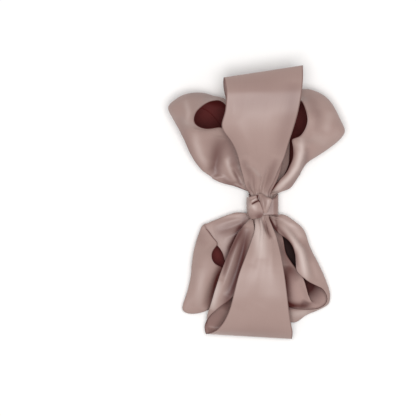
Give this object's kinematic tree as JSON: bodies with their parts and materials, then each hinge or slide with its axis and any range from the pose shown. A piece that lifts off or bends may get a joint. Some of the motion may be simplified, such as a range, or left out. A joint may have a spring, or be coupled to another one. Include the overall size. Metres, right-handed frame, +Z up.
{
  "type": "christening sash tied in a bow",
  "caption": "Wide satin ribbon sash tied in a flat, many-looped bow that lies face up, with its loops standing open round a narrow bound knot.",
  "frame": {"origin": "on the surface that the bow lies on, under the middle of its outline", "axes": "+Z up from the surface to the face of the bow, +Y along the bow to its top centre loop, +X to the right across it"},
  "size_m": [0.1664, 0.255, 0.0492],
  "materials": {
    "ribbon_satin": "soft satin sheen"
  },
  "bodies": {
    "root": {"loop_top_centre": "ribbon_satin", "loop_top_left": "ribbon_satin", "loop_top_right": "ribbon_satin", "loop_bottom_centre": "ribbon_satin", "loop_bottom_left": "ribbon_satin", "loop_bottom_right": "ribbon_satin", "binding": "ribbon_satin", "knot_lobe": "ribbon_satin", "knot_crossing": "ribbon_satin"}
  },
  "joints": []
}
